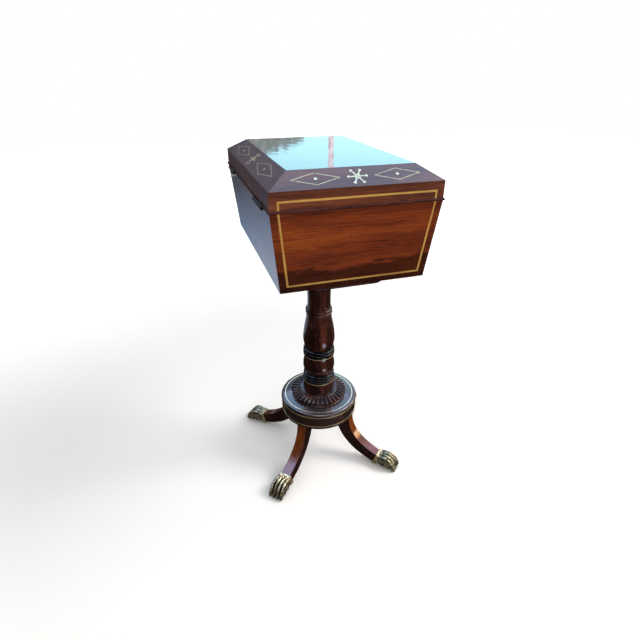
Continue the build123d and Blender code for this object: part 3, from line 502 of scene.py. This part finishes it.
# gadrooned collar: a low dome with 36 carved fingers
collarShape = {"bore": 38.4, "foot": (66.5, 168.2), "neck": (46.6, 185.0),
               "flank": [(66.5, 169.6), (65.0, 171.0), (62.0, 172.4), (60.6, 175.0), (61.0, 178.4)],
               "crown": [(60.0, 179.6), (54.0, 181.4), (47.6, 183.4)],
               "ribs": 36, "inner": 46.0, "outer": 69.8, "tipHalfWidth": 4.876, "rootHalfWidth": 3.312,
               "rootHeight": 181.6, "tipHeight": 177.6, "halfHeight": 4.5}
bm = bmesh.new()
under = (collarShape["bore"], collarShape["foot"][1])
spinProfile(bm, [under, collarShape["foot"]] + smoothLine(collarShape["flank"])
            + smoothLine(collarShape["crown"])
            + [collarShape["neck"], (collarShape["bore"], collarShape["neck"][1]), under])
finishPiece(bm, "collarDome", carvedWood, ("gadrooned_collar",))
bm = bmesh.new()
for rib in range(collarShape["ribs"]):
    made = bmesh.ops.create_uvsphere(bm, u_segments=12, v_segments=10, radius=1.0,
                                     matrix=Matrix.Rotation(pi / 2, 4, "Y"))
    for vert in made["verts"]:
        # the ball is drawn out to a blunt finger, wider and lower towards its tip
        share = (vert.co.x + 1) / 2
        across = hypot(vert.co.y, vert.co.z) or 1.0
        blunt = min(1.0, across ** 0.5) / across
        width = between(collarShape["rootHalfWidth"], collarShape["tipHalfWidth"], share)
        middle = between(collarShape["rootHeight"], collarShape["tipHeight"], share)
        vert.co = Vector((between(collarShape["inner"], collarShape["outer"], share),
                          vert.co.y * blunt * width,
                          middle + vert.co.z * blunt * collarShape["halfHeight"])) * mm
    bmesh.ops.rotate(bm, verts=made["verts"], cent=(0, 0, 0),
                     matrix=Matrix.Rotation(2 * pi * rib / collarShape["ribs"], 3, "Z"))
finishPiece(bm, "collarGadroons", carvedWood)
print("platform and collar made")


# copies of the CAD's sharp-edged pieces with worn arrises, of a width in mm
wearOf = {"bearer": 0.8, "bead": 0.7, "leg": 1.3}


def softened(name, material, body, width, bevelFrom=40, across=None):
    bm = bmesh.new()
    bm.from_mesh(nodes[name].data)
    bmesh.ops.remove_doubles(bm, verts=bm.verts, dist=weld)
    bmesh.ops.dissolve_limit(bm, angle_limit=radians(1.5), verts=bm.verts, edges=bm.edges)
    piece = finishPiece(bm, "worn_" + name, material, (name,), body, sharp=30)
    if across:
        # painted shade: the side faces take a darker wood, the outer face keeps the leg's own
        piece.data.materials.append(legSidesPaintedShade)
        for face in piece.data.polygons:
            face.material_index = 1 if abs(face.normal.dot(across)) > 0.8 else 0
    if width:
        bevel = piece.modifiers.new("wornArris", "BEVEL")
        bevel.width = width * mm
        bevel.segments = 3
        bevel.limit_method = "ANGLE"
        bevel.angle_limit = radians(bevelFrom)
        bevel.harden_normals = True
    return piece


softened("box_bearer", bearerWood, "stand", wearOf["bearer"])
softened("lid_bead", beadWood, "lid", wearOf["bead"], 30)
for end in ("left", "right"):
    softened("caddy_" + end + "_lid", caddyWood, "caddy_" + end + "_cover", 0)
for corner, angle in corners.items():
    softened("leg_" + corner, legWood[corner], "stand", wearOf["leg"],
             across=Vector((-sin(radians(angle)), cos(radians(angle)), 0)))

# the band and the slope of a lid rail are two veneers with different figure
for side in sides:
    rail = nodes["lid_rail_" + side]
    rail.data.materials.clear()
    rail.data.materials.append(bandEnd if side.endswith("end") else bandLong)
    rail.data.materials.append(slopeWood[side])
    for face in rail.data.polygons:
        face.material_index = 1 if face.normal.z > 0.5 else 0
print("cad pieces dressed")

# star and lozenge dots: thin brass arms and discs on the slopes
slopeShape = {"run": 38.5, "rise": 23.5, "length": 440.0, "width": 304.0, "top": 760.0,
              "arms": 6, "arm": 15.4, "armRoot": 1.5, "armTip": 0.8, "ball": 2.6, "dot": 2.8, "disc": 5.4,
              "thick": 0.5, "proud": 0.1, "segments": 20, "places": {"long": 103.0, "end": 71.0}}
slopeTilt = hypot(slopeShape["run"], slopeShape["rise"])
armAngles = [2 * pi * arm / slopeShape["arms"] for arm in range(slopeShape["arms"])]
bm = bmesh.new()
for outX, outY in sides.values():
    reach = ((slopeShape["width"] if outX == 0 else slopeShape["length"]) - slopeShape["run"]) / 2
    middle = Vector((outX * reach, outY * reach, slopeShape["top"] - slopeShape["rise"] / 2)) * mm
    normal = Vector((outX * slopeShape["rise"], outY * slopeShape["rise"], slopeShape["run"])) / slopeTilt
    along = Vector((-outY, outX, 0))
    up = normal.cross(along)
    turnTo = Matrix((along, up, normal)).transposed().to_4x4()
    middle += normal * (slopeShape["proud"] - slopeShape["thick"] / 2) * mm
    for angle in armAngles:
        made = bmesh.ops.create_cube(bm, size=1.0)
        for vert in made["verts"]:
            outer = vert.co.x > 0
            half = slopeShape["armTip"] if outer else slopeShape["armRoot"]
            vert.co = Vector((slopeShape["arm"] if outer else 0, half * (1 if vert.co.y > 0 else -1),
                              slopeShape["thick"] * vert.co.z)) * mm
        bmesh.ops.transform(bm, verts=made["verts"], matrix=Matrix.Translation(middle) @ turnTo
                            @ Matrix.Rotation(angle, 4, "Z"))
    place = slopeShape["places"]["long" if outX == 0 else "end"]
    spots = [(place, 0, slopeShape["dot"]), (-place, 0, slopeShape["dot"])]
    spots += [(slopeShape["arm"] * cos(angle), slopeShape["arm"] * sin(angle), slopeShape["ball"])
              for angle in armAngles]
    spots.append((0, 0, slopeShape["disc"]))
    for x, y, radius in spots:
        centre = middle + (along * x + up * y) * mm
        bmesh.ops.create_cone(bm, cap_ends=True, segments=slopeShape["segments"], radius1=radius * mm,
                              radius2=radius * mm, depth=slopeShape["thick"] * mm,
                              matrix=Matrix.Translation(centre) @ turnTo)
finishPiece(bm, "slopeDots", starBrass, body="lid", smooth=False)


# countersunk screw heads
screwShape = {"depth": 0.6, "proud": 0.05, "segments": 20, "hingeRadius": 2.4, "bearerRadius": 4.4,
              "hinges": (-146, 146), "hingeSteps": (-25, 0, 25), "hingeY": 147.2, "lowerLeaf": 702,
              "upperLeaf": 702.5, "bearerX": (-150, -60, 60, 150), "bearerY": (-45, 45), "bearerFoot": 540}


def screwHeads(name, spots, z, radius, face, body):
    # face is 1 where the heads look up and -1 where they look down
    bm = bmesh.new()
    for x, y in spots:
        middle = Vector((x, y, z)) * mm
        middle.z -= face * (screwShape["depth"] / 2 - screwShape["proud"]) * mm
        bmesh.ops.create_cone(bm, cap_ends=True, segments=screwShape["segments"], radius1=radius * mm,
                              radius2=radius * mm, depth=screwShape["depth"] * mm,
                              matrix=Matrix.Translation(middle))
    finishPiece(bm, name, steelScrew, body=body, smooth=False)


hingeSpots = [(x + step, screwShape["hingeY"]) for x in screwShape["hinges"]
              for step in screwShape["hingeSteps"]]
bearerSpots = [(x, y) for x in screwShape["bearerX"] for y in screwShape["bearerY"]]
screwHeads("hingeScrewsLower", hingeSpots, screwShape["lowerLeaf"], screwShape["hingeRadius"], 1, "stand")
screwHeads("hingeScrewsUpper", hingeSpots, screwShape["upperLeaf"], screwShape["hingeRadius"], -1, "lid")
screwHeads("bearerScrews", bearerSpots, screwShape["bearerFoot"], screwShape["bearerRadius"], -1, "stand")
print("inlay dots and screws made")

# lion paws: swollen pads and toes grown together, then hollowed for the castor. Each pad and toe part is
# a ball's middle and half sizes in mm, and a toe part's middle has its spread across instead of y; each toe
# has its place across and how far its upper parts drop.
pawShape = {
    "pads": [((181, 0, 17), (13, 16.5, 16)), ((193, 0, 14.5), (17, 18.7, 15.5)),
             ((206, 0, 9), (14, 18.3, 8.6)), ((204, 0, 12), (15, 18, 13))],
    "toes": [(-14.2, 1.8), (-4.8, 0.0), (4.8, 0.0), (14.2, 1.8)], "dropFrom": 12,
    "toeParts": [((184, 0.86, 30.2), (9, 4.0, 5.6)), ((190, 0.9, 31.0), (9, 4.0, 6.6)),
                 ((196, 0.94, 30.6), (9, 4.1, 7.2)), ((201.5, 0.98, 28.6), (9, 4.1, 8.0)),
                 ((207, 1.0, 25.0), (8.6, 4.1, 8.4)), ((211.8, 1.0, 20.4), (8, 4.1, 8.6)),
                 ((215.6, 1.0, 15.4), (7.4, 4.1, 8.6)), ((218.2, 1.0, 10.4), (6.6, 4.1, 8.0)),
                 ((219.4, 1.0, 6.6), (5.8, 4.4, 5.6))],
    "grain": 0.8, "sole": 1.2, "castor": 196, "well": 16.5, "wellTop": 21.6, "pin": 3.05, "pinTop": 32.5}


def addBall(bm, middle, size):
    made = bmesh.ops.create_uvsphere(bm, u_segments=20, v_segments=14, radius=1.0)
    bmesh.ops.scale(bm, verts=made["verts"], vec=Vector(size) * mm)
    bmesh.ops.translate(bm, verts=made["verts"], vec=Vector(middle) * mm)


def baked(piece):
    # the mesh with its modifiers applied
    evaluated = piece.evaluated_get(bpy.context.evaluated_depsgraph_get())
    return bpy.data.meshes.new_from_object(evaluated)


def grownPaw():
    bm = bmesh.new()
    for middle, size in pawShape["pads"]:
        addBall(bm, middle, size)
    for toe, drop in pawShape["toes"]:
        for (x, spread, z), size in pawShape["toeParts"]:
            addBall(bm, (x, toe * spread, z - (drop if z > pawShape["dropFrom"] else 0)), size)
    raw = addObject("pawRaw", meshFrom(bm, "pawRaw"))
    grown = raw.modifiers.new("grow", "REMESH")
    grown.mode = "VOXEL"
    grown.voxel_size = pawShape["grain"] * mm
    soft = raw.modifiers.new("soft", "SMOOTH")
    soft.factor = 0.5
    soft.iterations = 2
    solid = baked(raw)
    bpy.data.objects.remove(raw)
    bm = bmesh.new()
    bm.from_mesh(solid)
    everything = bm.verts[:] + bm.edges[:] + bm.faces[:]
    bmesh.ops.bisect_plane(bm, geom=everything, plane_co=(0, 0, pawShape["sole"] * mm), plane_no=(0, 0, 1),
                           clear_inner=True)
    rims = [edge for edge in bm.edges if edge.is_boundary]
    bmesh.ops.holes_fill(bm, edges=rims, sides=0)
    bm.to_mesh(solid)
    bm.free()
    whole = addObject("pawSolid", solid)
    cutters = []
    for radius, top in ((pawShape["well"], pawShape["wellTop"]), (pawShape["pin"], pawShape["pinTop"])):
        bm = bmesh.new()
        bmesh.ops.create_cone(bm, cap_ends=True, segments=48, radius1=radius * mm, radius2=radius * mm,
                              depth=2 * top * mm, matrix=Matrix.Translation((pawShape["castor"] * mm, 0, 0)))
        cutter = addObject("cutter", meshFrom(bm, "cutter"))
        cut = whole.modifiers.new("well", "BOOLEAN")
        cut.object = cutter
        cut.solver = "EXACT"
        cutters.append(cutter)
    hollow = baked(whole)
    for spare in cutters + [whole]:
        bpy.data.objects.remove(spare)
    return hollow


# the cuff that holds the leg's end, and the claws
cuffShape = {"middle": (173.6, 0, 18.1), "slope": 20.0, "size": (10.0, 29.0, 31.0), "start": -7.0,
             "bevel": 1.2}
clawShape = {"root": 2.5, "tip": 1.2, "length": 4, "x": 224.2, "z": 5.6, "spread": 1.02, "lean": 140}


def addCuff(bm):
    verts = bmesh.ops.create_cube(bm, size=1.0)["verts"]
    start = cuffShape["start"] + cuffShape["size"][0] / 2
    bmesh.ops.scale(bm, verts=verts, vec=Vector(cuffShape["size"]) * mm)
    bmesh.ops.translate(bm, verts=verts, vec=(start * mm, 0, 0))
    bmesh.ops.rotate(bm, verts=verts, cent=(0, 0, 0),
                     matrix=Matrix.Rotation(radians(cuffShape["slope"]), 3, "Y"))
    bmesh.ops.translate(bm, verts=verts, vec=Vector(cuffShape["middle"]) * mm)
    edges = list({edge for vert in verts for edge in vert.link_edges})
    bmesh.ops.bevel(bm, geom=edges, offset=cuffShape["bevel"] * mm, affect="EDGES", segments=3, profile=0.5,
                    material=-1)


def addClaws(bm):
    for toe, _ in pawShape["toes"]:
        place = Vector((clawShape["x"], toe * clawShape["spread"], clawShape["z"])) * mm
        bmesh.ops.create_cone(bm, cap_ends=True, segments=16, radius1=clawShape["root"] * mm,
                              radius2=clawShape["tip"] * mm, depth=clawShape["length"] * mm,
                              matrix=Matrix.Translation(place)
                              @ Matrix.Rotation(radians(clawShape["lean"]), 4, "Y"))


pawMesh = grownPaw()
for corner, angle in corners.items():
    paw, cuff, claws = bmesh.new(), bmesh.new(), bmesh.new()
    paw.from_mesh(pawMesh)
    addCuff(cuff)
    addClaws(claws)
    for bm in (paw, cuff, claws):
        bmesh.ops.transform(bm, matrix=Matrix.Rotation(radians(angle), 4, "Z"), verts=bm.verts)
    finishPiece(paw, "lionPaw_" + corner, castBrass, ("paw_" + corner,))
    finishPiece(cuff, "pawCuff_" + corner, cuffBrass, smooth=False)
    finishPiece(claws, "pawClaws_" + corner, castBrass)
print("paws made")

# camera at the object's three-quarter view, a step above the lid; its focal length is in pixels
cameraShape = {"place": (-0.9101, 0.2920, 0.9047), "back": (-0.8330, 0.2697, 0.4830), "roll": 0.3,
               "focal": 462.0, "width": 640, "sensor": 36}
camera = addObject("camera", bpy.data.cameras.new("camera"))
camera.data.lens = cameraShape["focal"] / cameraShape["width"] * cameraShape["sensor"]
camera.data.sensor_width = cameraShape["sensor"]
camera.data.clip_start = 0.01
turnTo = Vector(cameraShape["back"]).to_track_quat("Z", "Y").to_matrix().to_4x4()
camera.matrix_world = (Matrix.Translation(cameraShape["place"]) @ turnTo
                       @ Matrix.Rotation(radians(cameraShape["roll"]), 4, "Z"))
bpy.context.scene.camera = camera

# floor: pale and plain paper that takes the lamps' shadows; the white glow the camera sees is dimmer near the
# object, and a painted contact shadow darkens it under the object
floorShape = {"halfSize": 6.0, "tone": 0.9, "near": 0.7, "far": 2.5, "nearGlow": 0.27,
              "contact": 0.1, "contactSpan": (0.45, 0.9)}
bm = bmesh.new()
bmesh.ops.create_grid(bm, x_segments=1, y_segments=1, size=floorShape["halfSize"])
floor = addObject("floor", meshFrom(bm, "floor"))
floorMaterial, tree = newMaterial("floorPaper")
rays = addNode(tree, "LightPath")
paper = addNode(tree, "BsdfDiffuse", inputs={"Color": (*[floorShape["tone"]] * 3, 1)})
spot = addNode(tree, "TexCoord")
reach = addNode(tree, "VectorMath", {"operation": "LENGTH"}, {0: spot.outputs["Object"]})
glow = addNode(tree, "MapRange", inputs={
    "Value": reach.outputs["Value"], "From Min": floorShape["near"], "From Max": floorShape["far"],
    "To Min": floorShape["nearGlow"], "To Max": 1.0})
# painted contact shadow: the white glow fades where ambient occlusion finds the object close
under = addNode(tree, "AmbientOcclusion", {"samples": 8}, {"Distance": floorShape["contact"]})
paintedContactShadow = addNode(tree, "MapRange", inputs={
    "Value": under.outputs["AO"], "From Min": floorShape["contactSpan"][0],
    "From Max": floorShape["contactSpan"][1]})
shown = addNode(tree, "Math", {"operation": "MULTIPLY"}, {0: glow, 1: paintedContactShadow})
strength = addNode(tree, "Math", {"operation": "MULTIPLY"}, {0: rays.outputs["Is Camera Ray"], 1: shown})
white = addNode(tree, "Emission", inputs={"Color": (1, 1, 1, 1), "Strength": strength})
both = addNode(tree, "AddShader", inputs={0: paper, 1: white})
addNode(tree, "OutputMaterial", inputs={"Surface": both})
floor.data.materials.append(floorMaterial)

# world: white where the camera, a mirror or glass looks; as a light it is grey, fuller from the front
worldLook = {"tint": (0.96, 0.98, 1.0, 1), "front": 0.62, "back": 0.22}
world = bpy.data.worlds.new("studio")
bpy.context.scene.world = world
world.use_nodes = True
tree = world.node_tree
tree.nodes.clear()
rays = addNode(tree, "LightPath")
seen = addNode(tree, "Math", {"operation": "MAXIMUM"}, {
    0: rays.outputs["Is Camera Ray"], 1: rays.outputs["Is Glossy Ray"]})
seenToo = addNode(tree, "Math", {"operation": "MAXIMUM"}, {0: seen, 1: rays.outputs["Is Transmission Ray"]})
heading = addNode(tree, "SeparateXYZ", inputs={"Vector": addNode(tree, "TexCoord").outputs["Generated"]})
lightTone = addNode(tree, "MapRange", inputs={
    "Value": heading.outputs["Y"], "From Min": -1.0, "From Max": 1.0,
    "To Min": worldLook["front"], "To Max": worldLook["back"]})
light = addNode(tree, "Background", inputs={"Color": worldLook["tint"], "Strength": lightTone})
white = addNode(tree, "Background", inputs={"Color": (1, 1, 1, 1), "Strength": 1.0})
mixed = addNode(tree, "MixShader", inputs={0: seenToo, 1: light, 2: white})
addNode(tree, "OutputWorld", inputs={"Surface": mixed})

# square lamps: place, what they face and size in metres, power in watts
lamps = {"keyLamp": {"place": (-0.55, -2.0, 2.0), "target": (0, 0, 0.4), "size": 1.1, "power": 50},
         "fillLamp": {"place": (-2.1, 0.3, 1.3), "target": (0, 0, 0.45), "size": 1.6, "power": 17}}
for name, setting in lamps.items():
    lamp = addObject(name, bpy.data.lights.new(name, "AREA"))
    lamp.data.size = setting["size"]
    lamp.data.energy = setting["power"]
    lamp.data.color = hexColour("#fff9f3")[:3]
    back = Vector(setting["place"]) - Vector(setting["target"])
    lamp.matrix_world = (Matrix.Translation(setting["place"])
                         @ back.to_track_quat("Z", "Y").to_matrix().to_4x4())


# Cards that only polish reflects: dark ones keep the wood deep, bright ones stand for sky and water.
# Each has its middle, the way it faces, width and height in metres, colours across it ("X", along the
# width, "Y", up it, or "spots"), where it leans the way of its upper edge, and where that edge is ragged,
# how far it wanders and how steeply it falls to one side. plainCard holds what a card doesn't say.
plainCard = {"across": "Y", "glow": 1.0, "soft": False, "ragged": 0.0, "fall": 0.0}
studioCards = {
    "groundNear": {"place": (-1.3, 0.35, 0.0006), "facing": (0, 0, 1), "size": (3.8, 3.1),
                   "stops": [(0.0, "#1c1613")]},
    "groundRight": {"place": (-0.5, -1.7, 0.0006), "facing": (0, 0, 1), "size": (2.2, 1.0),
                    "stops": [(0.0, "#5a4c42"), (1.0, "#1c1613")]},
    "waterFar": {"place": (1.9, 0.4, 0.0006), "facing": (0, 0, 1), "size": (2.6, 2.0), "across": "X",
                 "stops": [(0.0, "#c3d1e6"), (0.25, "#a5b8d2"), (0.5, "#748aa6"), (0.85, "#4c5664")]},
    "hedgeLeft": {"place": (-0.8, 2.0, 1.45), "facing": (0, -1, 0), "size": (3.6, 2.9),
                  "stops": [(0.0, "#15110f")]},
    "hedgeBehind": {"place": (-2.7, 0.1, 1.1), "facing": (1, 0, 0), "size": (4.4, 2.2),
                    "stops": [(0.0, "#15110f"), (1.0, "#1d1815")]},
    "skyLow": {"place": (2.876, -1.403, 1.7), "facing": (-0.899, 0.438, 0), "size": (2.2, 1.7), "glow": 2.1,
               "stops": [(0.0, "#bdf4fb"), (0.3, "#b6effb"), (1.0, "#9cc0f0")]},
    "skyHigh": {"place": (1.5, 0.0, 3.0), "facing": (0, 0, -1), "size": (5.4, 4.6), "across": "X",
                "glow": 4.4,
                "stops": [(0.0, "#b6cdf2"), (0.3, "#9dbbe4"), (0.6, "#83a6c6"), (1.0, "#7f9fc0")]},
    "treesRight": {"place": (2.853, 0.927, 1.15), "facing": (-0.951, -0.309, 0), "size": (2.8, 2.2),
                   "stops": [(0.0, "#4a4c55"), (1.0, "#5a5658")], "ragged": 0.12},
    "treeFar": {"place": (2.755, -0.5, 1.03), "facing": (-0.984, 0.18, 0), "size": (0.5, 0.5),
                "across": "spots", "ragged": 0.12, "fall": 0.34,
                "stops": [(0.35, "#55503c"), (0.5, "#8d866c"), (0.65, "#c9c4ad")]},
    "sunLow": {"place": (-0.03, -2.0, 0.4), "facing": (0, 1, 0), "size": (0.6, 0.84), "soft": True,
               "glow": 15.0,
               "stops": [(0.0, "#d98a45"), (0.3, "#ffdcb4"), (0.6, "#ffc58c"), (1.0, "#a85a28")]},
    "skyFront": {"place": (0.3, -1.74, 1.42), "facing": (-0.2, 0.76, -0.616), "up": (-0.156, 0.596, 0.788),
                 "size": (1.1, 0.8), "soft": True, "glow": 6.0,
                 "stops": [(0.0, "#b49cc0"), (1.0, "#a9b4e8")]},
    "skyBehind": {"place": (-2.2, 0.7, 3.0), "facing": (0.62, -0.2, -0.758), "up": (0.721, -0.233, 0.652),
                  "size": (1.8, 0.6), "across": "X", "soft": True, "glow": 12.0,
                  "stops": [(0.0, "#cdd9f2"), (1.0, "#f0eef0")]},
    "skyLeft": {"place": (0.25, 1.2, 2.8), "facing": (0, 0, -1), "size": (1.8, 1.3), "soft": True,
                "glow": 10.5, "stops": [(0.0, "#a3bbee")]},
    "paleStone": {"place": (-0.4, -0.16, 0.0009), "facing": (0, 0, 1), "size": (0.34, 0.24), "across": "X",
                  "soft": True, "glow": 6.5, "stops": [(0.0, "#8da8d4"), (1.0, "#dfe8f6")]},
    "post": {"place": (2.543, -0.906, 1.2), "facing": (-0.942, 0.335, 0), "size": (0.042, 0.9),
             "across": "spots", "glow": 1.9,
             "stops": [(0.38, "#8e5a50"), (0.48, "#e2c4ca"), (0.6, "#faf2f6")]},
    "trunkHigh": {"place": (1.9, -0.615, 2.46), "facing": (-0.951, 0.308, 0), "size": (0.23, 1.27),
                  "stops": [(0.0, "#0d0c0c")]},
}
cardLook = {"spotScale": 22.0, "raggedBlend": 0.03, "fadeFrom": 0.35}


def cardGlow(name, setting):
    # a plain glow in the card's colours, cut ragged or faded where the card says so
    material, tree = newMaterial(name + "Glow")
    width, height = setting["size"]
    spot = addNode(tree, "TexCoord")
    axes = addNode(tree, "SeparateXYZ", inputs={"Vector": spot.outputs["Object"]})
    patches = addNode(tree, "TexNoise", inputs={
        "Vector": spot.outputs["Object"], "Scale": cardLook["spotScale"], "Detail": 4.0, "Roughness": 0.7})
    if setting["across"] == "spots":
        share = patches.outputs["Fac"]
    else:
        half = width / 2 if setting["across"] == "X" else height / 2
        share = addNode(tree, "MapRange", inputs={
            "Value": axes.outputs[setting["across"]], "From Min": -half, "From Max": half})
    colour = addNode(tree, "ValToRGB", inputs={"Fac": share})
    setRamp(colour, setting["stops"])
    glow = addNode(tree, "Emission", inputs={"Color": colour.outputs["Color"], "Strength": setting["glow"]})
    clear = addNode(tree, "BsdfTransparent")
    if setting["ragged"]:
        wander = addNode(tree, "Math", {"operation": "MULTIPLY_ADD"}, {
            0: patches.outputs["Fac"], 1: setting["ragged"], 2: axes.outputs["Y"]})
        falling = addNode(tree, "Math", {"operation": "MULTIPLY_ADD"}, {
            0: axes.outputs["X"], 1: setting["fall"], 2: wander})
        gone = addNode(tree, "MapRange", inputs={
            "Value": falling, "From Min": height / 2 - cardLook["raggedBlend"], "From Max": height / 2})
        glow = addNode(tree, "MixShader", inputs={0: gone, 1: glow, 2: clear})
    if setting["soft"]:
        # a bright card fades towards its edges, as a soft light does
        fades = []
        for axis, reach in (("X", width / 2), ("Y", height / 2)):
            aside = addNode(tree, "Math", {"operation": "ABSOLUTE"}, {0: axes.outputs[axis]})
            fades.append(addNode(tree, "MapRange", {"interpolation_type": "SMOOTHSTEP"}, {
                "Value": aside, "From Min": reach * cardLook["fadeFrom"], "From Max": reach,
                "To Min": 1.0, "To Max": 0.0}))
        kept = addNode(tree, "Math", {"operation": "MULTIPLY"}, {0: fades[0], 1: fades[1]})
        glow = addNode(tree, "MixShader", inputs={0: kept, 1: clear, 2: glow})
    addNode(tree, "OutputMaterial", inputs={"Surface": glow})
    return material


for name, given in studioCards.items():
    setting = {**plainCard, **given}
    bm = bmesh.new()
    bmesh.ops.create_grid(bm, x_segments=1, y_segments=1, size=0.5)
    bmesh.ops.scale(bm, verts=bm.verts, vec=(*setting["size"], 1))
    card = addObject(name, meshFrom(bm, name))
    facing = Vector(setting["facing"])
    # the upper edge of a card that lies flat is towards the back
    up = Vector(setting.get("up", (0, 0, 1) if facing.z == 0 else (0, 1, 0)))
    turnTo = Matrix((up.cross(facing), up, facing)).transposed().to_4x4()
    card.matrix_world = Matrix.Translation(setting["place"]) @ turnTo
    card.data.materials.append(cardGlow(name, setting))
    for ray in ("camera", "diffuse", "shadow", "transmission", "volume_scatter"):
        setattr(card, "visible_" + ray, False)
print("camera, floor, lamps and cards set")
